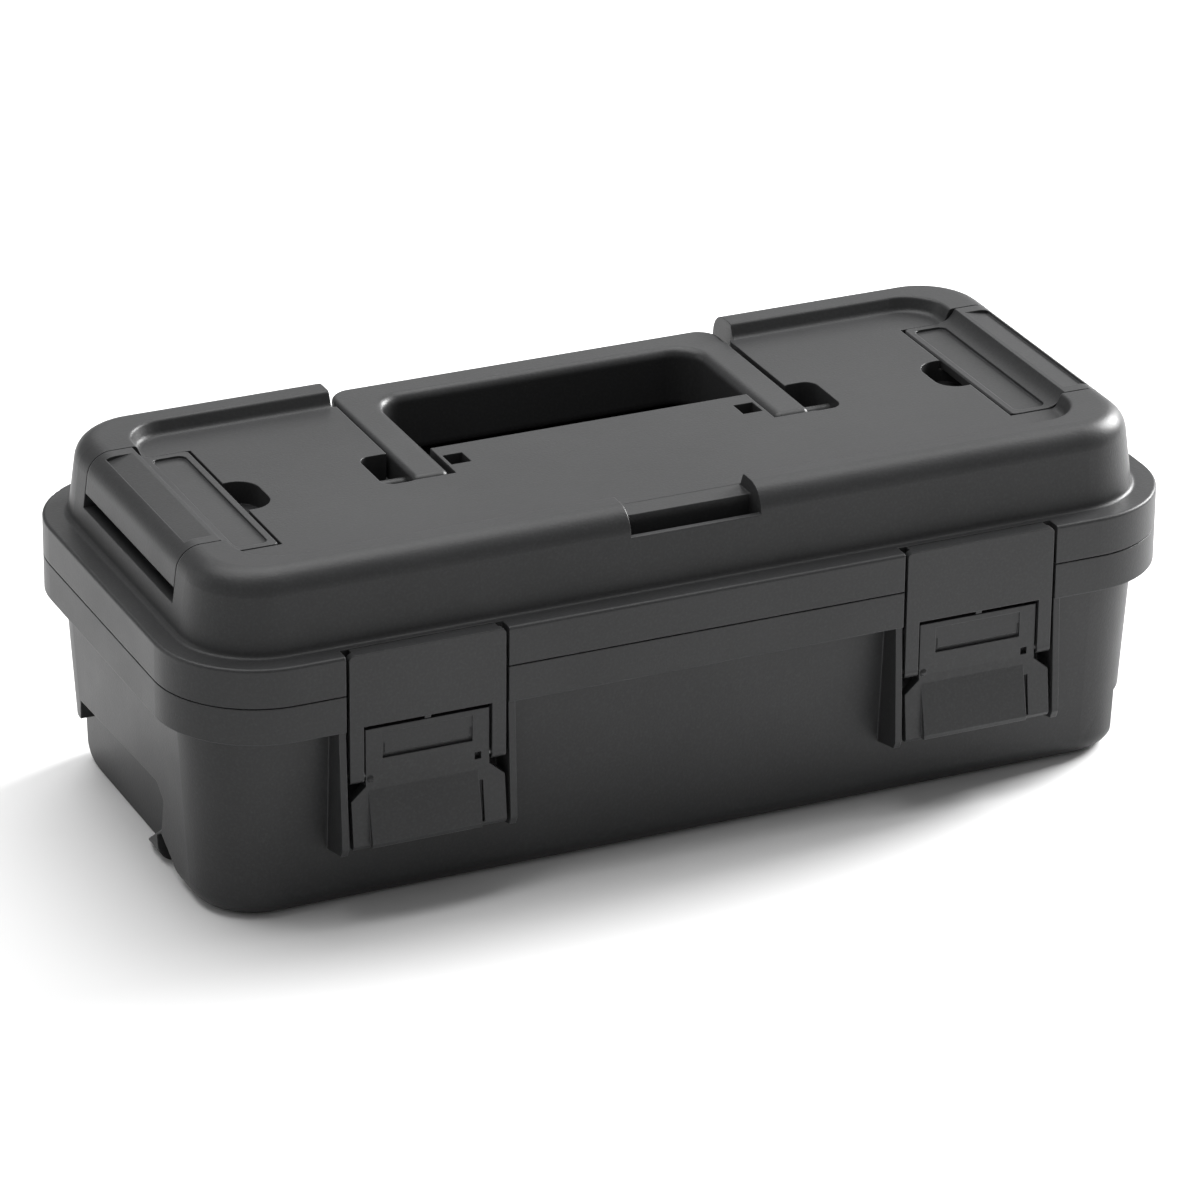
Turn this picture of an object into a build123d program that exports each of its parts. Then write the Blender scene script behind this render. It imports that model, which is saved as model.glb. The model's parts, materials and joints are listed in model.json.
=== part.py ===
from build123d import *
import os
from math import atan, degrees, radians, tan

# Stackable 16 inch toolbox with a lift-out tray, closed and latched.
# Millimetres. +X is the right end, -Y the front with the two latches, +Z up.
# The origin is on the ground, under the middle of the box.

# ---- Driving dimensions --------------------------------------------------------------
half_length = 200.0  # flange, the widest outline
half_width = 93.5
corner_radius = 39.0
flange_bottom_z = 76.5
parting_z = 90.5  # where lid and tub meet, and the height of the lid hinge
flange_top_z = 106.0
panel_z = 131.0  # recessed top panel of the lid
rim_z = 136.5  # raised rim around that panel
wall = 2.6
skirt = 2.8

tub_base_inset = 14.5  # how far each outline stands inside the flange
tub_top_inset = 9.0
end_gain = 2.2  # the tub's end walls stand this much further out than its long walls
tub_floor = 4.0
tub_edge_radius = 8.0
dome_inset = 9.5
dome_draft = 7.5
dome_edge_radius = 9.5

hinge_y = 93.0  # also the plane of the flat back of both flanges
knuckle_radius = 4.2
hinge_centre_x = 110.0
hinge_half_length = 40.0
hinge_middle_half = 13.5
hinge_pin_radius = 2.0

latch_x = 110.75
slot_half = 31.55  # half the width of the slot each latch sits in
rib_thickness = 2.65
lug_inner = 25.0  # lugs for the lever pin, measured from the latch's middle
lug_outer = 29.95
lug_radius = 2.6
pin_radius = 1.6
lever_axis_y = -87.4
lever_axis_z = 73.2
plate_axis_y = -91.0
plate_axis_z = 57.3
plate_front_y = -half_width
neck_half = 24.0

handle_outer_half = 80.5
handle_inner_half = 65.8
handle_front_y = -10.5
grip_front_y = 63.4
grip_back_y = 77.5
handle_bottom_z = 119.0  # under the arms, near the pivots
grip_bottom_z = 107.0
handle_axis_z = 124.5
rim_gap_half = 83.5
well_floor_z = 104.0
well_front_y = 12.3
well_back_y = 79.8

clip_half = 45.0
clip_axis_x = 184.4
clip_axis_z = 124.6
clip_free_x = 147.8
ridge_x = 170.0

tray_floor_z = 46.0
tray_top_z = 86.0
tray_half_length = 178.0
tray_half_width = 72.5
tray_wall = 2.0

running_gap = 0.05  # a shaft that turns in its hole
fixed_gap = 0.02  # a shaft held still in its hole
gap = 0.5  # between mouldings that pass each other

tub_draft = degrees(atan((tub_base_inset - tub_top_inset) / parting_z))
sides = (("left", -1), ("right", 1))


def outline(inset, mode=Mode.ADD, gain=0):
    """The box's rounded outline, pulled in all round; a gain lengthens both ends."""
    width = 2 * (half_length - inset + gain)
    depth = 2 * (half_width - inset)
    RectangleRounded(width, depth, corner_radius - inset, mode=mode)


def block(low, high, mode=Mode.ADD):
    """A box between two corners."""
    middle = [(a + b) / 2 for a, b in zip(low, high)]
    with Locations(tuple(middle)):
        Box(*[b - a for a, b in zip(low, high)], mode=mode)


def rod(radius, start_x, end_x, y, z, mode=Mode.ADD):
    """A round bar along X."""
    with Locations(Plane.YZ.offset((start_x + end_x) / 2)):
        with Locations((y, z)):
            Cylinder(radius, abs(end_x - start_x), mode=mode)


def side_profile(points, start_x, end_x, mode=Mode.ADD):
    """A closed outline in Y and Z, carried along X."""
    with BuildSketch(Plane.YZ.offset(start_x)) as section:
        with BuildLine():
            Polyline(*points, close=True)
        make_face()
    extrude(section.sketch, amount=end_x - start_x, mode=mode)


def end_profile(points, half_y, mode=Mode.ADD, offset_y=0):
    """A closed outline in X and Z, carried along Y both ways from a given place."""
    with BuildSketch(Plane.XZ.offset(-offset_y)) as section:
        with BuildLine():
            Polyline(*points, close=True)
        make_face()
    extrude(section.sketch, amount=half_y, both=True, mode=mode)


def publish(part, name):
    """Label a finished piece and write it."""
    part.label = name
    export_step(part, f"parts/{name}.step")


def tub_wall_y(z):
    """How far the tub's long walls stand from the middle at a height."""
    return half_width - tub_base_inset + z * tan(radians(tub_draft))


def tub_wall_x(z):
    """How far the tub's end walls stand from the middle at a height."""
    return tub_wall_y(z) + half_length - half_width + end_gain


os.makedirs("parts", exist_ok=True)

# ---- Tub ------------------------------------------------------------------------------
catch_depth = 7.2  # stacking recess in each end wall
catch_back_y = 55.0
catch_front_y = -30.0
catch_top_z = 33.5
catch_low_z = 17.0
catch_corner_y = 76.0
catch_corner_z = 23.0
support_rib_xs = (-130, 0, 130)
support_rib_ys = (-40, 40)
support_rib = 3.0
support_overlap = 10.0  # how far the ribs reach in under the tray's edge
ledge_height = 6.0
lip_inset = dome_inset + wall + gap
lip_height = 2.5
lip_thickness = 1.8
slot_back_y = -84.2
channel_rib = 2.0

catch_points = [
    (catch_corner_y, -1),
    (catch_corner_y, catch_corner_z),
    (catch_back_y, catch_corner_z + 2),
    (catch_back_y - 2, catch_top_z),
    (catch_front_y + 3, catch_top_z + 3),
    (catch_front_y - 3, catch_top_z - 2.5),
    (catch_front_y + 2, catch_low_z),
    (catch_front_y + 22, 3),
    (catch_front_y + 32, -1),
]
# A second, low notch beside it.
notch_points = [
    (catch_front_y + 8, -1),
    (catch_front_y + 8, catch_low_z - 5),
    (catch_front_y + 3, catch_low_z - 2),
    (catch_front_y - 6, catch_low_z - 8),
    (catch_front_y - 15, -1),
]
catch_floor_x = half_length - tub_base_inset + end_gain - catch_depth
catch_backing = [
    (catch_corner_y + wall, -1),
    (catch_corner_y + wall, catch_corner_z + wall),
    (catch_back_y + wall, catch_corner_z + wall + 2),
    (catch_back_y + wall, catch_top_z + wall + 3),
    (catch_front_y - 3 - wall, catch_top_z + wall + 3),
    (catch_front_y - 15 - wall, catch_low_z),
    (catch_front_y - 15 - wall, -1),
]


def support_points(wall_place, inner):
    """Section of a rib that carries the tray, between its inner face and the wall."""
    foot = wall_place(0)
    return [
        (inner, tray_floor_z),
        (wall_place(tray_floor_z) - wall / 2, tray_floor_z),
        (wall_place(10) - wall / 2, 10),
        (foot - 2.0, 5.5),
        (foot - 5.5, 2.5),
        (inner, 2.5),
    ]


def catch_recess(turn, points, depth_x):
    """Cut the stacking recess of one end; the other end is the same turned half round."""
    turned = [(turn * y, z) for y, z in points]
    start, stop = sorted((-turn * depth_x, -turn * half_length))
    side_profile(turned, start, stop, Mode.SUBTRACT)


with BuildPart() as tub_cavity:
    cavity_inset = tub_base_inset + wall - tub_floor * tan(radians(tub_draft))
    with BuildSketch(Plane.XY.offset(tub_floor)):
        outline(cavity_inset, gain=end_gain)
    extrude(amount=parting_z - tub_floor, taper=-tub_draft)
    fillet(tub_cavity.edges().group_by(Axis.Z)[0], tub_edge_radius - wall)
    for turn in (1, -1):
        catch_recess(turn, catch_backing, catch_floor_x - wall)
    with BuildSketch(Plane.XY.offset(parting_z)):
        outline(tub_top_inset + wall, gain=end_gain)
    extrude(amount=6)

with BuildPart() as tub_shell:
    with BuildSketch(Plane.XY):
        outline(tub_base_inset, gain=end_gain)
    extrude(amount=parting_z, taper=-tub_draft)
    fillet(tub_shell.edges().group_by(Axis.Z)[0], tub_edge_radius)
    with BuildSketch(Plane.XY.offset(flange_bottom_z)):
        outline(0)
    extrude(amount=parting_z - flange_bottom_z)
    # The flange is an upside-down channel with cross ribs, open below.
    with BuildSketch(Plane.XY.offset(flange_bottom_z)):
        outline(skirt)
        outline(tub_top_inset + 0.6, Mode.SUBTRACT, end_gain)
    extrude(amount=parting_z - flange_bottom_z - skirt, mode=Mode.SUBTRACT)
    for turn in (-1, 1):
        ends = sorted((turn * 83, turn * 91))
        for x in range(-160, 161, 40):
            low = (x - channel_rib / 2, ends[0], flange_bottom_z + 2)
            block(low, (x + channel_rib / 2, ends[1], parting_z - 1))
        ends = sorted((turn * 190, turn * 198))
        for y in (-40, 0, 40):
            low = (ends[0], y - channel_rib / 2, flange_bottom_z + 2)
            block(low, (ends[1], y + channel_rib / 2, parting_z - 1))
    # The flat back of the flange lies in the plane of the hinge axis.
    low = (-half_length, hinge_y, flange_bottom_z - 1)
    block(low, (half_length, half_width + 1, parting_z + 1), Mode.SUBTRACT)
    # Latch slots through the flange, each between two long ribs.
    for name, side in sides:
        centre = side * latch_x
        for edge in (-1, 1):
            inner = centre + edge * slot_half
            low, high = sorted((inner, inner + edge * rib_thickness))
            block((low, plate_front_y, flange_bottom_z), (high, -84, parting_z))
            side_profile(
                [
                    (-81, flange_bottom_z + 1),
                    (-92.6, flange_bottom_z + 1),
                    (-95.0, 30.5),
                    (-93.6, 27.5),
                    (-79.5, 24.5),
                ],
                low,
                high,
            )
        block(
            (centre - slot_half, -half_width - 1, flange_bottom_z - 1),
            (centre + slot_half, slot_back_y, parting_z + 1),
            Mode.SUBTRACT,
        )
        # Lugs that carry the lever pin.
        for edge in (-1, 1):
            low, high = sorted((centre + edge * lug_inner, centre + edge * lug_outer))
            block((low, lever_axis_y, lever_axis_z - lug_radius), (high, -82.5, lever_axis_z + lug_radius))
            rod(lug_radius, low, high, lever_axis_y, lever_axis_z)
            rod(pin_radius + fixed_gap, low, high, lever_axis_y, lever_axis_z, Mode.SUBTRACT)
    add(tub_cavity.part, mode=Mode.SUBTRACT)
    # Ledge inside the rim, and on it the raised lip that the lid drops around.
    with BuildSketch(Plane.XY.offset(parting_z - ledge_height)):
        outline(tub_top_inset + 1, gain=end_gain)
        outline(lip_inset + lip_thickness, Mode.SUBTRACT)
    extrude(amount=ledge_height)
    with BuildSketch(Plane.XY.offset(parting_z - 1)):
        outline(lip_inset)
        outline(lip_inset + lip_thickness, Mode.SUBTRACT)
    extrude(amount=1 + lip_height)
    # Ribs inside that carry the tray; their outer ends lie within the wall's thickness.
    for turn in (-1, 1):
        for x in support_rib_xs:
            profile = support_points(tub_wall_y, tray_half_width - support_overlap)
            points = [(turn * y, z) for y, z in profile]
            side_profile(points, x - support_rib / 2, x + support_rib / 2)
        for y in support_rib_ys:
            profile = support_points(tub_wall_x, tray_half_length - support_overlap)
            points = [(turn * x, z) for x, z in profile]
            end_profile(points, support_rib / 2, offset_y=y)
    for turn in (1, -1):
        catch_recess(turn, catch_points, catch_floor_x)
        catch_recess(turn, notch_points, catch_floor_x)
    # Underside: the box stands on a broad ring around a shallow recess.
    with BuildSketch(Plane.XY):
        outline(tub_base_inset + 16, gain=end_gain)
    extrude(amount=1.5, mode=Mode.SUBTRACT)
    # Hinge knuckles either side of the lid's, and room for the lid's own.
    for name, side in sides:
        centre = side * hinge_centre_x
        for edge in (-1, 1):
            ends = sorted((centre + edge * (hinge_middle_half + gap), centre + edge * hinge_half_length))
            rod(knuckle_radius, ends[0], ends[1], hinge_y, parting_z)
        middle = (centre - hinge_middle_half - gap, centre + hinge_middle_half + gap)
        rod(knuckle_radius + gap, middle[0], middle[1], hinge_y, parting_z, Mode.SUBTRACT)
        rod(
            hinge_pin_radius + fixed_gap,
            centre - hinge_half_length - 1,
            centre + hinge_half_length + 1,
            hinge_y,
            parting_z,
            Mode.SUBTRACT,
        )
publish(tub_shell.part, "tub_shell")


# ---- Lid ------------------------------------------------------------------------------
panel_skin = 2.8
seam_chamfer = 0.6
panel_half_x = 165.6
panel_half_y = 63.1
panel_slope = 24.0
notch_half = 26.0
notch_front_y = -71.8
notch_floor_z = 126.5
recess_floor_z = 127.2
clip_recess_x = 179.6
clip_slot_z = 115.4
finger_depth = 9.0  # scoop under each clip's free edge
finger_centre = 3.0
finger_half_x = 9.0
finger_half_y = 13.0
handle_pin_radius = 2.5
channel_inner = handle_inner_half - 1.0
channel_outer = handle_outer_half + 1.2
channel_floor_z = 113.4
side_pocket_outer = 93.5
side_pocket_half = 13.5
side_pocket_z = 118.0
notch_wall_y = -79.0
clip_pin_radius = 1.5


def clip_recess_points(inward):
    """Section of the clip's recess, or of the wall behind it when moved inward."""
    return [
        (clip_free_x - 0.9 - inward, 145),
        (clip_free_x - 0.9 - inward, recess_floor_z - inward),
        (165.0 + inward / 2, recess_floor_z - inward),
        (170.8 + inward / 2, recess_floor_z + 4.6 - inward),
        (clip_recess_x - inward, recess_floor_z + 4.6 - inward),
        (clip_recess_x - inward, clip_slot_z - inward),
        (205, clip_slot_z - inward),
        (205, 145),
    ]


def arm_pockets(margin, mode):
    """The handle's well and channels, or the walls around them when a margin is given."""
    low = (-rim_gap_half - margin, grip_front_y - 1.2 - margin, handle_bottom_z - 1 - margin)
    block(low, (rim_gap_half + margin, half_width, 145), mode)
    low = (-channel_outer - margin, well_front_y - margin, well_floor_z - margin)
    block(low, (channel_outer + margin, well_back_y + margin, 145), mode)
    for name, side in sides:
        front_y, back_y = 1 - side_pocket_half, 1 + side_pocket_half
        spans = [
            (channel_inner, channel_outer, handle_front_y - 1.5, well_front_y + 1, channel_floor_z),
            (55.5, 63.5, -4.5, 4.5, handle_bottom_z),
        ]
        if margin > 0:
            spans.append((channel_outer - 1, side_pocket_outer, front_y, back_y, side_pocket_z))
        for near, far, front, rear, floor in spans:
            xs = sorted((side * (near - margin), side * (far + margin)))
            block((xs[0], front - margin, floor - margin), (xs[1], rear + margin, 145), mode)


with BuildPart() as lid_cavity:
    with BuildSketch(Plane.XY.offset(parting_z)):
        outline(dome_inset + wall)
    extrude(amount=flange_top_z - parting_z)
    with BuildSketch(Plane.XY.offset(flange_top_z)):
        outline(dome_inset + wall + 0.2)
    extrude(amount=panel_z - panel_skin - flange_top_z, taper=dome_draft)
    arm_pockets(wall, Mode.SUBTRACT)
    low = (-notch_half - wall, -half_width, notch_floor_z - 4 - wall)
    block(low, (notch_half + wall, notch_front_y + wall, 145), Mode.SUBTRACT)
    for turn in (-1, 1):
        end_profile([(turn * x, z) for x, z in clip_recess_points(wall)], clip_half + 7, Mode.SUBTRACT)
        near, far = clip_free_x - finger_centre - finger_half_x, clip_free_x - finger_centre + finger_half_x
        xs = sorted((turn * (near - wall), turn * (far + wall)))
        low = (xs[0], -finger_half_y - wall, panel_z - finger_depth - wall)
        block(low, (xs[1], finger_half_y + wall, 145), Mode.SUBTRACT)

with BuildPart() as panel_recess:
    with BuildSketch(Plane.XY.offset(panel_z)):
        RectangleRounded(2 * panel_half_x, 2 * panel_half_y, 14)
    extrude(amount=rim_z - panel_z + 0.5, taper=-panel_slope)
    fillet(panel_recess.edges().group_by(Axis.Z)[0], 2.5)

with BuildPart() as lid_shell:
    with BuildSketch(Plane.XY.offset(parting_z)):
        outline(0)
    extrude(amount=flange_top_z - parting_z)
    fillet(lid_shell.edges().group_by(Axis.Z)[-1], 1.2)
    chamfer(lid_shell.edges().group_by(Axis.Z)[0], seam_chamfer)
    with BuildSketch(Plane.XY.offset(parting_z)):
        outline(skirt)
        outline(dome_inset - 0.5, Mode.SUBTRACT)
    extrude(amount=flange_top_z - parting_z - skirt, mode=Mode.SUBTRACT)
    # Solid flange behind the latch slots and at the hinges, then the dome.
    for name, side in sides:
        centre = side * latch_x
        half = slot_half + skirt
        block((centre - half, -92, parting_z), (centre + half, -83, flange_top_z - 1))
        centre = side * hinge_centre_x
        half = hinge_half_length + skirt
        block((centre - half, 83, parting_z), (centre + half, 92, flange_top_z - 1))
    with BuildSketch(Plane.XY.offset(flange_top_z)):
        outline(dome_inset)
    extrude(amount=rim_z - flange_top_z, taper=dome_draft)
    fillet(lid_shell.edges().group_by(Axis.Z)[-1], dome_edge_radius)
    at_foot = lid_shell.edges().filter_by_position(Axis.Z, flange_top_z - 0.01, flange_top_z + 0.01)
    foot = at_foot.filter_by(
        lambda e: abs((e @ 0.5).X) < half_length - 5 and abs((e @ 0.5).Y) < half_width - 5
    )
    fillet(foot, 2.0)
    # Recessed panel with a soft sloping rim.
    add(panel_recess.part, mode=Mode.SUBTRACT)
    crest = lid_shell.faces().filter_by_position(Axis.Z, rim_z - 0.01, rim_z + 0.01).sort_by(Axis.Z)[-1]
    fillet(crest.inner_wires()[0].edges(), 1.6)
    add(lid_cavity.part, mode=Mode.SUBTRACT)
    low = (-half_length, hinge_y, parting_z - 1)
    block(low, (half_length, half_width + 1, flange_top_z + 1), Mode.SUBTRACT)
    # Notch at the front, with a narrow trough behind its outer wall.
    block((-notch_half, -half_width, notch_floor_z), (notch_half, notch_front_y, 145), Mode.SUBTRACT)
    low = (-notch_half, notch_wall_y, notch_floor_z - 4)
    block(low, (notch_half, notch_front_y, 145), Mode.SUBTRACT)
    block((-notch_half, notch_front_y - 1, panel_z), (notch_half, -panel_half_y + 1, 145), Mode.SUBTRACT)
    arm_pockets(0, Mode.SUBTRACT)
    with BuildSketch(Plane.XY.offset(side_pocket_z)):
        middle = (channel_outer - 3 + side_pocket_outer) / 2
        with Locations((-middle, 1), (middle, 1)):
            RectangleRounded(side_pocket_outer - channel_outer + 3, 2 * side_pocket_half, 5)
    extrude(amount=145 - side_pocket_z, mode=Mode.SUBTRACT)
    # Clip recesses with their finger notches and pin holes.
    for turn in (-1, 1):
        end_profile([(turn * x, z) for x, z in clip_recess_points(0)], clip_half + 0.6, Mode.SUBTRACT)
        with BuildSketch(Plane.XY.offset(panel_z - finger_depth)):
            with Locations((turn * (clip_free_x - finger_centre), 0)):
                RectangleRounded(2 * finger_half_x, 2 * finger_half_y, 8.5)
        extrude(amount=20, mode=Mode.SUBTRACT)
        with Locations(Plane.XZ):
            with Locations((turn * clip_axis_x, clip_axis_z)):
                Cylinder(clip_pin_radius + fixed_gap, 2 * (clip_half + 4.5), mode=Mode.SUBTRACT)
    rod(handle_pin_radius + fixed_gap, -98, -57, 0, handle_axis_z, Mode.SUBTRACT)
    rod(handle_pin_radius + fixed_gap, 57, 98, 0, handle_axis_z, Mode.SUBTRACT)
    for name, side in sides:
        centre = side * latch_x
        block(
            (centre - slot_half, -half_width - 1, parting_z - 1),
            (centre + slot_half, -87.2, flange_top_z + 0.01),
            Mode.SUBTRACT,
        )
        centre = side * hinge_centre_x
        for edge in (-1, 1):
            ends = sorted((centre + edge * hinge_middle_half, centre + edge * (hinge_half_length + gap)))
            rod(knuckle_radius + gap, ends[0], ends[1], hinge_y, parting_z, Mode.SUBTRACT)
        rod(knuckle_radius, centre - hinge_middle_half, centre + hinge_middle_half, hinge_y, parting_z)
        rod(
            hinge_pin_radius + running_gap,
            centre - hinge_middle_half - 1,
            centre + hinge_middle_half + 1,
            hinge_y,
            parting_z,
            Mode.SUBTRACT,
        )
publish(lid_shell.part, "lid_shell")

# ---- Handle ---------------------------------------------------------------------------
handle_edge_radius = 2.0
grip_edge_radius = 3.6
grip_bottom_radius = 3.0

with BuildPart() as handle_bail:
    with BuildSketch(Plane.XY.offset(grip_bottom_z)):
        with Locations((0, (handle_front_y + grip_back_y) / 2)):
            Rectangle(2 * handle_outer_half, grip_back_y - handle_front_y)
        with Locations((0, (handle_front_y + grip_front_y) / 2 - 1)):
            Rectangle(2 * handle_inner_half, grip_front_y - handle_front_y + 2, mode=Mode.SUBTRACT)
    extrude(amount=panel_z - grip_bottom_z)
    upright = handle_bail.edges().filter_by(Axis.Z)
    fillet(upright.filter_by(lambda e: e.center().Y > 70), 9)
    upright = handle_bail.edges().filter_by(Axis.Z)
    fillet(upright.filter_by(lambda e: 60 < e.center().Y < 66), 11)
    # The arms get thinner towards the pivots.
    side_profile(
        [
            (-20, grip_bottom_z - 5),
            (-20, handle_bottom_z),
            (22, handle_bottom_z),
            (50, grip_bottom_z),
            (50, grip_bottom_z - 5),
        ],
        -handle_outer_half - 1,
        handle_outer_half + 1,
        Mode.SUBTRACT,
    )
    across = handle_bail.edges().filter_by(Axis.X).filter_by(lambda e: e.center().Y < -10)
    fillet(across.group_by(Axis.Z)[0], 5)
    across = handle_bail.edges().filter_by(Axis.X).filter_by(lambda e: e.center().Y < -10)
    fillet(across.group_by(Axis.Z)[-1], 3)
    inner_edge = handle_bail.faces().sort_by(Axis.Z)[-1].edges().filter_by(
        lambda e: abs(e.center().X) < handle_inner_half + 0.5 and e.center().Y < grip_front_y + 0.5
    )
    fillet(inner_edge, grip_edge_radius)
    rest_edge = handle_bail.faces().sort_by(Axis.Z)[-1].edges().filter_by(
        lambda e: abs(e.center().X) > handle_outer_half - 4 or e.center().Y > grip_back_y - 3
    )
    fillet(rest_edge, handle_edge_radius)
    # The grip is rounded underneath, where the fingers go.
    across = handle_bail.edges().filter_by(Axis.X)
    fillet(across.filter_by(lambda e: e.center().Z < grip_bottom_z + 0.1), grip_bottom_radius)
    for name, side in sides:
        ends = sorted((side * (handle_inner_half - 1), side * (handle_outer_half + 1)))
        rod(handle_pin_radius + running_gap, ends[0], ends[1], 0, handle_axis_z, Mode.SUBTRACT)
publish(handle_bail.part, "handle_bail")

for name, side in sides:
    with BuildPart() as handle_pin:
        ends = sorted((side * 57.5, side * 97.5))
        rod(handle_pin_radius, ends[0], ends[1], 0, handle_axis_z)
        chamfer(handle_pin.edges(), 0.4)
    publish(handle_pin.part, f"handle_pin_{name}")

# ---- Stacking clips -------------------------------------------------------------------
lip_top_z = 131.2
plate_top_z = 130.2
leg_inner_x = 181.3

with BuildPart() as clip_right:
    with BuildSketch(Plane.XZ):
        with BuildLine():
            Polyline(
                (clip_axis_x + 1, 121.3),
                (leg_inner_x + 0.6, 121.3),
                (leg_inner_x, 129.6),
                (179.6, 132.5),
                (ridge_x + 1.0, 132.5),
                (164.6, 127.6),
                (clip_free_x, 127.6),
                (clip_free_x, lip_top_z - 0.6),
            )
            Polyline((clip_free_x, lip_top_z - 0.6), (clip_free_x + 0.6, lip_top_z), (162.0, lip_top_z))
            ThreePointArc((162.0, lip_top_z), (167.2, 133.0), (ridge_x, rim_z))
            Line((ridge_x, rim_z), (178.15, rim_z))
            ThreePointArc((178.15, rim_z), (184.41, 134.14), (187.57, 128.24))
            Polyline((187.57, 128.24), (188.48, 121.3), (clip_axis_x + 1, 121.3))
        make_face()
    extrude(amount=clip_half, both=True)
    with Locations(Plane.XZ):
        with Locations((clip_axis_x, clip_axis_z)):
            Cylinder(3.1, 2 * clip_half)
            Cylinder(clip_pin_radius + running_gap, 2 * clip_half + 2, mode=Mode.SUBTRACT)
    # Free corners are round in plan.
    upright = clip_right.edges().filter_by(Axis.Z)
    fillet(upright.filter_by(lambda e: e.center().X < clip_free_x + 0.1), 2.5)
    # A framed field on the plate, and a shallow field along the crest.
    with BuildSketch(Plane.XY.offset(plate_top_z)):
        with Locations((157.2, 0)):
            RectangleRounded(13, 2 * (clip_half - 2.6), 3)
    extrude(amount=3, mode=Mode.SUBTRACT)
    with Locations(Location((177.0, 0, rim_z + 1.0), (0, 11, 0))):
        Box(10.5, 2 * (clip_half - 5), 4, mode=Mode.SUBTRACT)
publish(clip_right.part, "clip_right")
with BuildPart() as clip_left:
    mirror(clip_right.part, about=Plane.YZ)
publish(clip_left.part, "clip_left")

for name, side in sides:
    with BuildPart() as clip_pin:
        with Locations(Plane.XZ):
            with Locations((side * clip_axis_x, clip_axis_z)):
                Cylinder(clip_pin_radius, 2 * (clip_half + 4))
        chamfer(clip_pin.edges(), 0.3)
    publish(clip_pin.part, f"clip_pin_{name}")

# ---- Latches --------------------------------------------------------------------------
lever_half = 29.9
lever_bottom_z = 29.5
shoulder_z = 53.4
window_top_z = 77.4
neck_top_z = 75.7
plate_half = 30.25
plate_thickness = 3.0
leg_inner = neck_half + 0.9
leg_bottom_z = plate_axis_z - 2.6
pad_left = 23.2  # the raised thumb pad, measured from the latch's middle
pad_right = 19.5
label_half = 17.5
groove_z = 65.0
stub_radius = 1.1

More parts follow.
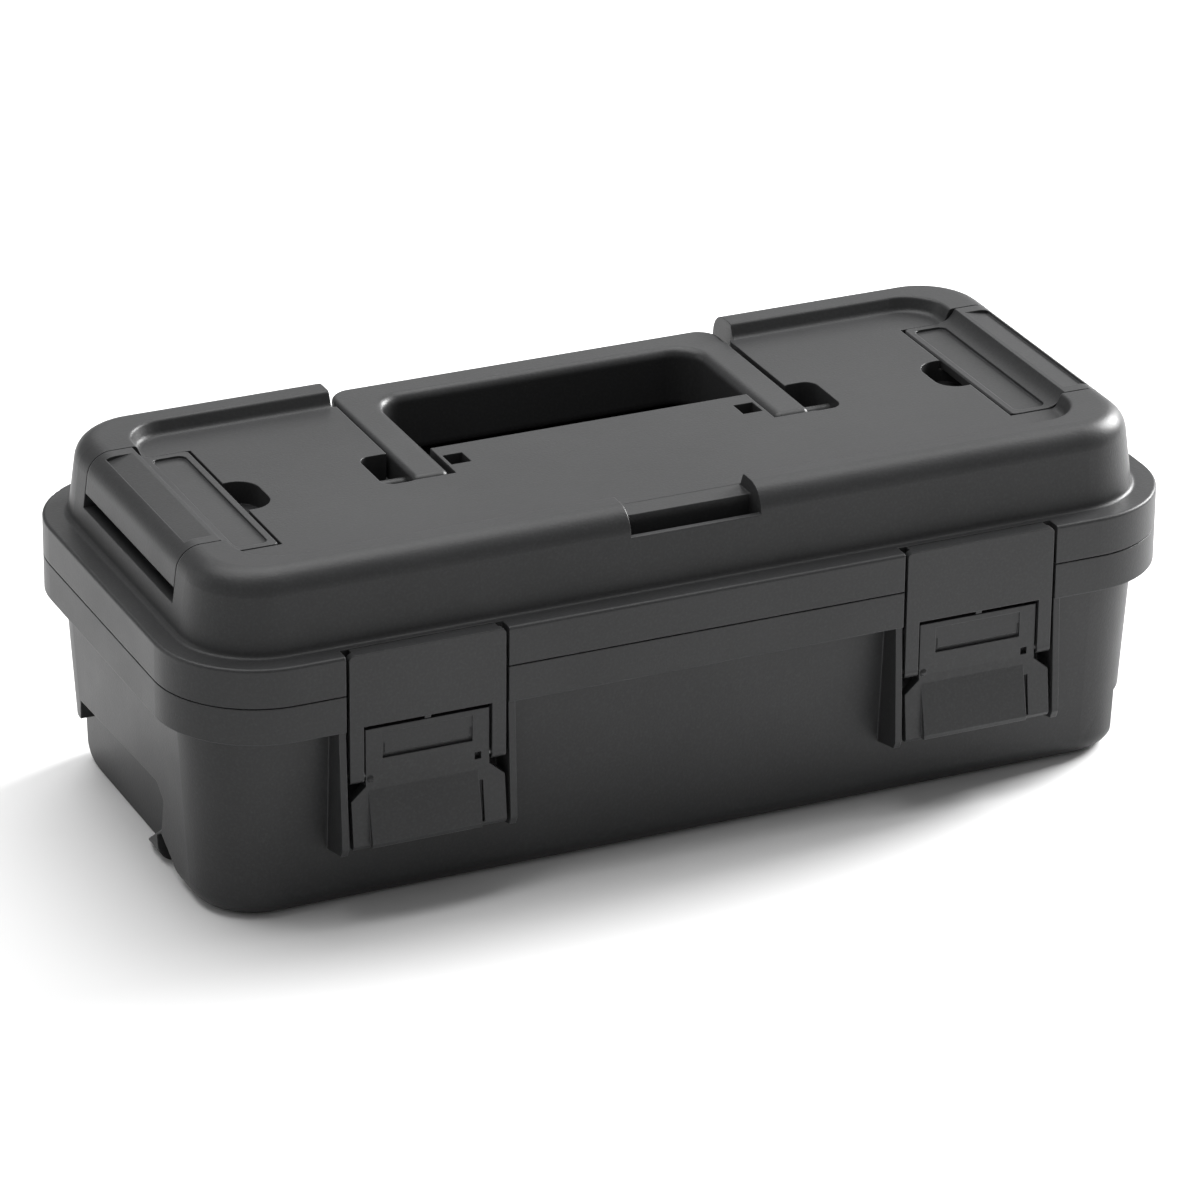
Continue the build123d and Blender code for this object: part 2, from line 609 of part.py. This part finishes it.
for name, side in sides:
    centre = side * latch_x
    with BuildPart() as lever:
        # Thickness of neck and lever seen from the end, then its outline from the front.
        side_profile(
            [
                (-92.7, neck_top_z),
                (-92.7, 55.0),
                (-93.1, 50.0),
                (-95.2, 31.0),
                (-94.2, lever_bottom_z),
                (-91.8, lever_bottom_z),
                (-89.6, 50.0),
                (-89.0, 55.0),
                (-89.0, neck_top_z),
            ],
            centre - lever_half,
            centre + lever_half,
        )
        with BuildSketch(Plane.XZ.offset(80)):
            with BuildLine():
                Polyline(
                    (centre - neck_half, neck_top_z + 1),
                    (centre - neck_half, shoulder_z),
                    (centre - lever_half, shoulder_z - 5.0),
                    (centre - lever_half, lever_bottom_z - 1),
                    (centre + lever_half, lever_bottom_z - 1),
                    (centre + lever_half, shoulder_z - 5.0),
                    (centre + neck_half, shoulder_z),
                    (centre + neck_half, neck_top_z + 1),
                    close=True,
                )
            make_face()
        extrude(amount=20, mode=Mode.INTERSECT)
        # Raised middle that swells towards the finger edge.
        side_profile(
            [(-92.9, 52.0), (-97.2, 32.0), (-96.6, 30.2), (-93.0, 30.2), (-91.5, 50.0)],
            centre - pad_left,
            centre + pad_right,
        )
        # A groove and a small square pocket beside the pad, and a rounded stop opposite.
        side_profile(
            [(-99, 47.5), (-92.0, 47.5), (-93.4, 31.5), (-99, 31.5)],
            centre + pad_right,
            centre + pad_right + 1.8,
            Mode.SUBTRACT,
        )
        low = (centre + pad_right - 1.2, -94, 55.8)
        block(low, (centre + pad_right + 1.4, -90.4, 58.6), Mode.SUBTRACT)
        with Locations((centre - 22.3, -92.2, 56.0)):
            Sphere(1.5)
        # Barrel for the lever pin.
        rod(3.0, centre - neck_half, centre + neck_half, lever_axis_y, lever_axis_z)
        half = neck_half + 1
        radius = pin_radius + running_gap
        rod(radius, centre - half, centre + half, lever_axis_y, lever_axis_z, Mode.SUBTRACT)
        # Recessed field above a grooved thumb tab.
        low = (centre - label_half, -93.5, groove_z)
        block(low, (centre + label_half, -92.2, 73.5), Mode.SUBTRACT)
        low = (centre - label_half, -93.5, groove_z - 1.6)
        block(low, (centre + label_half, -91.4, groove_z), Mode.SUBTRACT)
        for edge in (-1, 1):
            xs = sorted((centre + edge * label_half, centre + edge * (label_half - 1.0)))
            block((xs[0], -93.5, groove_z), (xs[1], -91.8, groove_z + 4.0), Mode.SUBTRACT)
            ends = sorted((centre + edge * 21.3, centre + edge * (neck_half + 1)))
            radius = stub_radius + fixed_gap
            rod(radius, ends[0], ends[1], plate_axis_y, plate_axis_z, Mode.SUBTRACT)
    publish(lever.part, f"latch_lever_{name}")

    with BuildPart() as draw_plate:
        with BuildSketch(Plane.XZ.offset(-plate_front_y - plate_thickness)):
            with BuildLine():
                Polyline(
                    (centre - plate_half, flange_top_z),
                    (centre - plate_half, leg_bottom_z + 1.5),
                    (centre - leg_inner, leg_bottom_z + 1.5),
                    (centre - leg_inner, window_top_z),
                    (centre + leg_inner, window_top_z),
                    (centre + leg_inner, leg_bottom_z + 1.5),
                    (centre + plate_half, leg_bottom_z + 1.5),
                    (centre + plate_half, flange_top_z),
                    close=True,
                )
            make_face()
        extrude(amount=plate_thickness)
        fillet(draw_plate.edges().filter_by(Axis.Y).filter_by(lambda e: e.center().Z > 100), 2.0)
        block(
            (centre - plate_half + 2, plate_front_y + plate_thickness - 1, flange_top_z - 3.5),
            (centre + plate_half - 2, -87.8, flange_top_z),
        )
        # Small bridge over the gap above the neck.
        block((centre - 1.2, plate_front_y + 0.5, neck_top_z + 0.5), (centre + 1.2, -90.5, window_top_z + 1))
        for edge in (-1, 1):
            ends = sorted((centre + edge * leg_inner, centre + edge * plate_half))
            rod(2.6, ends[0], ends[1], plate_axis_y, plate_axis_z)
            radius = stub_radius + running_gap
            rod(radius, ends[0] - 1, ends[1] + 1, plate_axis_y, plate_axis_z, Mode.SUBTRACT)
    publish(draw_plate.part, f"draw_plate_{name}")

    with BuildPart() as lever_pin:
        rod(pin_radius, centre - lug_outer, centre + lug_outer, lever_axis_y, lever_axis_z)
    publish(lever_pin.part, f"lever_pin_{name}")

    with BuildPart() as plate_pins:
        for edge in (-1, 1):
            ends = sorted((centre + edge * 21.5, centre + edge * (plate_half - 0.3)))
            rod(stub_radius, ends[0], ends[1], plate_axis_y, plate_axis_z)
    publish(plate_pins.part, f"plate_pins_{name}")

# ---- Hinge pins -----------------------------------------------------------------------
for name, side in sides:
    centre = side * hinge_centre_x
    with BuildPart() as hinge_pin:
        rod(hinge_pin_radius, centre - hinge_half_length, centre + hinge_half_length, hinge_y, parting_z)
        chamfer(hinge_pin.edges(), 0.4)
    publish(hinge_pin.part, f"hinge_pin_{name}")

# ---- Tray -----------------------------------------------------------------------------
tray_draft = 2.5
tray_corner = 18.0
tray_height = tray_top_z - tray_floor_z
tray_shrink = tray_height * tan(radians(tray_draft))
spine_half = 1.2
divider_xs = (-92.0, 92.0)
divider_half = 0.9
divider_top_z = 80.0
grip_half = 62.0
grip_post = 9.0
grip_top_z = 99.0


def tray_outline(inset):
    """The tray's outline at its top edge, pulled in all round."""
    RectangleRounded(2 * (tray_half_length - inset), 2 * (tray_half_width - inset), tray_corner - inset)


with BuildPart() as tray_shell:
    with BuildSketch(Plane.XY.offset(tray_floor_z)):
        tray_outline(tray_shrink)
    extrude(amount=tray_height, taper=-tray_draft)
    fillet(tray_shell.edges().group_by(Axis.Z)[0], 5)
    with BuildSketch(Plane.XY.offset(tray_top_z - 2.2)):
        tray_outline(-2.5)
    extrude(amount=2.2)
    with BuildSketch(Plane.XY.offset(tray_floor_z + tray_wall)):
        tray_outline(tray_shrink + tray_wall)
    extrude(amount=tray_height + 1, taper=-tray_draft, mode=Mode.SUBTRACT)
    # Spine along the middle, low at both ends, high where the grip plugs in.
    with BuildSketch(Plane.XZ):
        with BuildLine():
            Polyline(
                (-tray_half_length + 1, tray_floor_z + 1),
                (tray_half_length - 1, tray_floor_z + 1),
                (tray_half_length - 2, divider_top_z),
                (grip_half + 22, divider_top_z),
                (grip_half + 8, 90),
                (grip_half - 7, 90),
                (grip_half - 14, 66),
                (-grip_half + 14, 66),
                (-grip_half + 7, 90),
                (-grip_half - 8, 90),
                (-grip_half - 22, divider_top_z),
                (-tray_half_length + 2, divider_top_z),
                close=True,
            )
        make_face()
    extrude(amount=spine_half, both=True)
    # Guide posts that hold each lift-out divider.
    for x in divider_xs:
        for y in (-tray_half_width + 4.2, -3.0, 3.0, tray_half_width - 4.2):
            for turn in (-1, 1):
                ends = sorted((x + turn * (divider_half + 0.2), x + turn * (divider_half + 2.0)))
                block((ends[0], y - 2.2, tray_floor_z + 1), (ends[1], y + 2.2, divider_top_z - 4))
    block((-grip_half - 6, -2.4, tray_floor_z + 1), (-grip_half + grip_post, 2.4, 82))
    block((grip_half - grip_post, -2.4, tray_floor_z + 1), (grip_half + 6, 2.4, 82))
    for turn in (-1, 1):
        ends = sorted((turn * (grip_half + 2.1), turn * (grip_half - grip_post + 4.9)))
        block((ends[0], -1.3, 70), (ends[1], 1.3, 95), Mode.SUBTRACT)
publish(tray_shell.part, "tray_shell")

with BuildPart() as tray_grip:
    for turn in (-1, 1):
        ends = sorted((turn * (grip_half + 2), turn * (grip_half - grip_post + 5)))
        block((ends[0], -1.2, 70), (ends[1], 1.2, 93))
    block((-grip_half - 2, -5.0, 92), (grip_half + 2, 5.0, grip_top_z))
    along = tray_grip.edges().filter_by(Axis.X)
    fillet(along.filter_by(lambda e: abs(e.center().Y) > 4), 2.6)
publish(tray_grip.part, "tray_grip")

for x in divider_xs:
    for turn, place in ((-1, "front"), (1, "back")):
        name = f"tray_divider_{'left' if x < 0 else 'right'}_{place}"
        with BuildPart() as divider:
            floor_z = tray_floor_z + tray_wall
            reach_low = tray_half_width - tray_shrink - tray_wall - 5.2
            with BuildSketch(Plane.YZ.offset(x - divider_half)):
                with BuildLine():
                    Polyline(
                        (turn * (spine_half + 0.1), floor_z),
                        (turn * reach_low, floor_z),
                        (turn * (reach_low + 4.4), floor_z + 6),
                        (turn * (reach_low + 5.6), divider_top_z - 2),
                        (turn * (spine_half + 0.1), divider_top_z - 2),
                        close=True,
                    )
                make_face()
            extrude(amount=2 * divider_half)
        publish(divider.part, name)
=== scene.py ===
import bpy
import json
import math
from mathutils import Matrix, Vector

# Lengths are metres, light powers are watts, and a noise scale is the number of blobs
# that fit in a metre.

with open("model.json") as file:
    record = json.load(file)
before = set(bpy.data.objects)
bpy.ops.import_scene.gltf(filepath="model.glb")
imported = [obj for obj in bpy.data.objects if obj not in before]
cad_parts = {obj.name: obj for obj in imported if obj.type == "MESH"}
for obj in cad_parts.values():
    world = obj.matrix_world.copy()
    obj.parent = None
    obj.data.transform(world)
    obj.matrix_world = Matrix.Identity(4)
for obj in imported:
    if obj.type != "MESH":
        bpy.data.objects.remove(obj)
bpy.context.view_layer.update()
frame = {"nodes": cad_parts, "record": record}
nodes = frame["nodes"]

# ---- Node helpers ---------------------------------------------------------------------

edge_samples = 4
round_samples = 6
# How far the softened normal turns from the true one: full effect at the first, none at
# the second, as the cosine of the angle between them.
edge_cosines = (0.72, 0.995)


class Shader:
    """A material under construction: add nodes, link them, keep the main shader."""

    def __init__(self, name):
        self.material = bpy.data.materials.new(name)
        self.material.use_nodes = True
        self.tree = self.material.node_tree
        self.tree.nodes.clear()
        self.output = self.tree.nodes.new("ShaderNodeOutputMaterial")
        self.main = self.tree.nodes.new("ShaderNodeBsdfPrincipled")
        self.link(self.main.outputs["BSDF"], self.output.inputs["Surface"])
        coord = self.tree.nodes.new("ShaderNodeTexCoord")
        self.place = coord.outputs["Object"]

    def link(self, source, target):
        self.tree.links.new(source, target)

    def noise(self, scale, detail, roughness=0.55, stretch=None):
        """Cloudy noise around 0.5; a stretch below 1 draws it out along that axis."""
        node = self.tree.nodes.new("ShaderNodeTexNoise")
        node.inputs["Scale"].default_value = scale
        node.inputs["Detail"].default_value = detail
        node.inputs["Roughness"].default_value = roughness
        place = self.place
        if stretch:
            mapping = self.tree.nodes.new("ShaderNodeMapping")
            mapping.inputs["Scale"].default_value = stretch
            self.link(place, mapping.inputs["Vector"])
            place = mapping.outputs["Vector"]
        self.link(place, node.inputs["Vector"])
        return node.outputs["Fac"]

    def ramp(self, source, low, high, span=(0.0, 1.0)):
        """Turn the span of the source into low to high, and hold the ends outside it."""
        node = self.tree.nodes.new("ShaderNodeMapRange")
        node.inputs["From Min"].default_value = span[0]
        node.inputs["From Max"].default_value = span[1]
        node.inputs["To Min"].default_value = low
        node.inputs["To Max"].default_value = high
        self.link(source, node.inputs["Value"])
        return node.outputs["Result"]

    def math(self, operation, first, second):
        node = self.tree.nodes.new("ShaderNodeMath")
        node.operation = operation
        for socket, value in zip(node.inputs, (first, second)):
            if isinstance(value, (int, float)):
                socket.default_value = value
            else:
                self.link(value, socket)
        return node.outputs["Value"]

    def mix(self, factor, first, second):
        """Blend two colours, each either a tuple or another node's output."""
        node = self.tree.nodes.new("ShaderNodeMix")
        node.data_type = "RGBA"
        self.link(factor, node.inputs["Factor"])
        for key, value in (("A", first), ("B", second)):
            socket = [s for s in node.inputs if s.name == key and s.type == "RGBA"][0]
            if isinstance(value, tuple):
                socket.default_value = (*value, 1.0)
            else:
                self.link(value, socket)
        return [s for s in node.outputs if s.type == "RGBA"][0]

    def edge(self, radius):
        """1 on convex and concave edges, 0 on flats."""
        soft = self.tree.nodes.new("ShaderNodeBevel")
        soft.samples = edge_samples
        soft.inputs["Radius"].default_value = radius
        flat = self.tree.nodes.new("ShaderNodeNewGeometry")
        dot = self.tree.nodes.new("ShaderNodeVectorMath")
        dot.operation = "DOT_PRODUCT"
        self.link(soft.outputs["Normal"], dot.inputs[0])
        self.link(flat.outputs["Normal"], dot.inputs[1])
        return self.ramp(dot.outputs["Value"], 1.0, 0.0, edge_cosines)

    def bump(self, height, distance, strength, below):
        """Raise the surface by a height, on top of the normal given as below."""
        node = self.tree.nodes.new("ShaderNodeBump")
        node.inputs["Distance"].default_value = distance
        node.inputs["Strength"].default_value = strength
        self.link(height, node.inputs["Height"])
        self.link(below, node.inputs["Normal"])
        return node.outputs["Normal"]

    def round_edges(self, radius):
        node = self.tree.nodes.new("ShaderNodeBevel")
        node.samples = round_samples
        node.inputs["Radius"].default_value = radius
        return node.outputs["Normal"]


# ---- Plastic --------------------------------------------------------------------------
# What every plastic part shares. Most of a noise's values lie in the middle span.

middle_span = (0.35, 0.65)
cloud_scale = 9.0
cloud_lighter = 1.10
cloud_darker = 0.92
speckle_scale = 900.0
speckle_span = (0.45, 0.75)
speckle_most = 0.10
rub_scale = 60.0
rub_span = (0.3, 0.7)
rub_least = 0.25
rub_most = 0.9
rub_polish = 0.08
scuff_scale = 26.0
scuff_smoother = 0.02
scuff_rougher = 0.03
sink_scale = 5.0
sink_depth = 0.0006
sink_strength = 0.14
grain_strength = 0.5
plastic_ior = 1.5
plastic_specular = 0.27


def plastic(name, base, worn, rough, edge_radius, grain_scale, grain_depth):
    """Moulded plastic: clouded colour, light specks, rubbed edges, scuffs, sinks, grain."""
    s = Shader(name)
    lighter = tuple(c * cloud_lighter for c in base)
    darker = tuple(c * cloud_darker for c in base)
    cloud = s.ramp(s.noise(cloud_scale, detail=4.0), 0.0, 1.0, middle_span)
    speckle = s.ramp(s.noise(speckle_scale, detail=2.0), 0.0, speckle_most, speckle_span)
    patchy = s.ramp(s.noise(rub_scale, detail=4.0), rub_least, rub_most, rub_span)
    rub = s.math("MULTIPLY", s.edge(edge_radius), patchy)
    colour = s.mix(cloud, darker, lighter)
    colour = s.mix(speckle, colour, worn)
    colour = s.mix(rub, colour, worn)
    s.link(colour, s.main.inputs["Base Color"])

    scuff = s.noise(scuff_scale, detail=4.0, roughness=0.6)
    roughness = s.ramp(scuff, rough - scuff_smoother, rough + scuff_rougher, middle_span)
    roughness = s.math("SUBTRACT", roughness, s.math("MULTIPLY", rub, rub_polish))
    s.link(roughness, s.main.inputs["Roughness"])

    normal = s.round_edges(edge_radius)
    normal = s.bump(s.noise(sink_scale, detail=2.0), sink_depth, sink_strength, normal)
    normal = s.bump(s.noise(grain_scale, detail=2.0), grain_depth, grain_strength, normal)
    s.link(normal, s.main.inputs["Normal"])
    s.main.inputs["IOR"].default_value = plastic_ior
    s.main.inputs["Specular IOR Level"].default_value = plastic_specular
    return s.material


# ---- Steel ----------------------------------------------------------------------------

streak_scale = 1400.0
streak_stretch = (0.05, 1.0, 1.0)
streak_darker = 0.72
streak_depth = 0.00004
streak_strength = 0.4
dull_scale = 120.0
dull_colour = (0.16, 0.15, 0.14)
dull_most = 0.35
dull_colour_span = (0.5, 0.75)
dull_roughness_span = (0.35, 0.7)
bright_roughness = 0.28
dull_roughness = 0.46
steel_edge_radius = 0.0002


def steel(name, base):
    """Drawn steel wire: fine streaks along X, as most of the pins lie, and some dulling."""
    s = Shader(name)
    streak = s.noise(streak_scale, detail=3.0, roughness=0.6, stretch=streak_stretch)
    dull = s.noise(dull_scale, detail=4.0)
    darker = tuple(c * streak_darker for c in base)
    colour = s.mix(s.ramp(streak, 0.0, 1.0, middle_span), darker, base)
    colour = s.mix(s.ramp(dull, 0.0, dull_most, dull_colour_span), colour, dull_colour)
    s.link(colour, s.main.inputs["Base Color"])
    roughness = s.ramp(dull, bright_roughness, dull_roughness, dull_roughness_span)
    s.link(roughness, s.main.inputs["Roughness"])
    normal = s.round_edges(steel_edge_radius)
    normal = s.bump(streak, streak_depth, streak_strength, normal)
    s.link(normal, s.main.inputs["Normal"])
    s.main.inputs["Metallic"].default_value = 1.0
    return s.material


# ---- One look for each material slot --------------------------------------------------

looks = {
    "body": plastic(
        "body_plastic",
        base=(0.0255, 0.0258, 0.0264),
        worn=(0.085, 0.086, 0.089),
        rough=0.42,
        edge_radius=0.0007,
        grain_scale=1200.0,
        grain_depth=0.00012,
    ),
    "handle": plastic(
        "handle_plastic",
        base=(0.0285, 0.0288, 0.0294),
        worn=(0.100, 0.101, 0.104),
        rough=0.38,
        edge_radius=0.0009,
        grain_scale=1200.0,
        grain_depth=0.00010,
    ),
    "clips": plastic(
        "clip_plastic",
        base=(0.0265, 0.0268, 0.0274),
        worn=(0.095, 0.096, 0.099),
        rough=0.38,
        edge_radius=0.0007,
        grain_scale=1200.0,
        grain_depth=0.00010,
    ),
    "latches": plastic(
        "latch_plastic",
        base=(0.0245, 0.0248, 0.0254),
        worn=(0.090, 0.091, 0.094),
        rough=0.37,
        edge_radius=0.0005,
        grain_scale=1200.0,
        grain_depth=0.00010,
    ),
    "tray": plastic(
        "tray_plastic",
        base=(0.050, 0.051, 0.053),
        worn=(0.090, 0.092, 0.096),
        rough=0.42,
        edge_radius=0.0006,
        grain_scale=1300.0,
        grain_depth=0.00005,
    ),
    "pins": steel("pin_steel", base=(0.42, 0.42, 0.43)),
}
slots = {entry["node"]: entry["material_slot"] for entry in frame["record"]["subparts"]}
for name, obj in nodes.items():
    obj.data.materials.clear()
    obj.data.materials.append(looks[slots[name]])

# ---- Floor ----------------------------------------------------------------------------

floor_radius = 9.0
floor_sides = 96
floor_z = -0.0003
floor_tones = ((0.80, 0.80, 0.80), (0.83, 0.83, 0.83))
floor_tone_scale = 2.0
floor_tone_span = (0.3, 0.7)
floor_fibre_scale = 300.0
floor_roughness = (0.75, 0.85)
floor_specular = 0.1


def floor_material():
    """Matt paper: two near-white tones and a fine change of roughness."""
    s = Shader("floor_paper")
    tone = s.ramp(s.noise(floor_tone_scale, detail=3.0), 0.0, 1.0, floor_tone_span)
    s.link(s.mix(tone, *floor_tones), s.main.inputs["Base Color"])
    fibre = s.noise(floor_fibre_scale, detail=2.0)
    s.link(s.ramp(fibre, *floor_roughness), s.main.inputs["Roughness"])
    s.main.inputs["Specular IOR Level"].default_value = floor_specular
    return s.material


angles = [i * math.tau / floor_sides for i in range(floor_sides)]
ring = [(floor_radius * math.cos(a), floor_radius * math.sin(a), floor_z) for a in angles]
mesh = bpy.data.meshes.new("floor")
mesh.from_pydata(ring, [], [list(range(floor_sides))])
floor = bpy.data.objects.new("floor", mesh)
mesh.materials.append(floor_material())
bpy.context.scene.collection.objects.link(floor)

# ---- Light ----------------------------------------------------------------------------

world_colour = (1.0, 1.0, 1.0, 1.0)
world_strength = 0.30


def softbox(name, place, aim, width, height, power):
    """A soft rectangular light that faces a point."""
    data = bpy.data.lights.new(name, "AREA")
    data.shape = "RECTANGLE"
    data.size = width
    data.size_y = height
    data.energy = power
    lamp = bpy.data.objects.new(name, data)
    lamp.location = place
    lamp.rotation_euler = (Vector(aim) - Vector(place)).to_track_quat("-Z", "Y").to_euler()
    bpy.context.scene.collection.objects.link(lamp)


softbox(
    "overhead", place=(-0.1, 0.5, 2.2), aim=(0, 0, 0.05), width=2.4, height=2.0, power=66
)
softbox("back", place=(0.9, 2.1, 1.15), aim=(0, 0, 0.12), width=1.7, height=0.9, power=4)
softbox(
    "left_back", place=(-2.2, 1.3, 0.8), aim=(0, 0, 0.08), width=1.2, height=1.0, power=5
)
softbox(
    "right_back", place=(1.9, 0.5, 1.0), aim=(0.34, 0, 0.02), width=0.9, height=0.9, power=110
)

world = bpy.data.worlds.new("studio")
world.use_nodes = True
world.node_tree.nodes["Background"].inputs["Color"].default_value = world_colour
world.node_tree.nodes["Background"].inputs["Strength"].default_value = world_strength
bpy.context.scene.world = world
bpy.context.scene.view_settings.view_transform = "Standard"

# ---- Camera ---------------------------------------------------------------------------
# It stands off the front left corner of the box, a little above it.

azimuth = math.radians(-24.70)
elevation = math.radians(24.85)
roll = math.radians(0.54)
target = Vector((-0.00084, 0.0, 0.0627))
distance = 2.4
focal_length_mm = 191.3
sensor_width_mm = 36.0
far_clip = 60.0

back = Vector(
    (
        math.sin(azimuth) * math.cos(elevation),
        -math.cos(azimuth) * math.cos(elevation),
        math.sin(elevation),
    )
)
right = (-back).cross(Vector((0, 0, 1))).normalized()
up = right.cross(-back)
turned_right = right * math.cos(roll) + up * math.sin(roll)
turned_up = up * math.cos(roll) - right * math.sin(roll)
camera_data = bpy.data.cameras.new("camera")
camera_data.lens = focal_length_mm
camera_data.sensor_width = sensor_width_mm
camera_data.clip_end = far_clip
camera = bpy.data.objects.new("camera", camera_data)
camera.matrix_world = Matrix.Translation(target + back * distance) @ Matrix(
    (turned_right, turned_up, back)
).transposed().to_4x4()
bpy.context.scene.collection.objects.link(camera)
bpy.context.scene.camera = camera
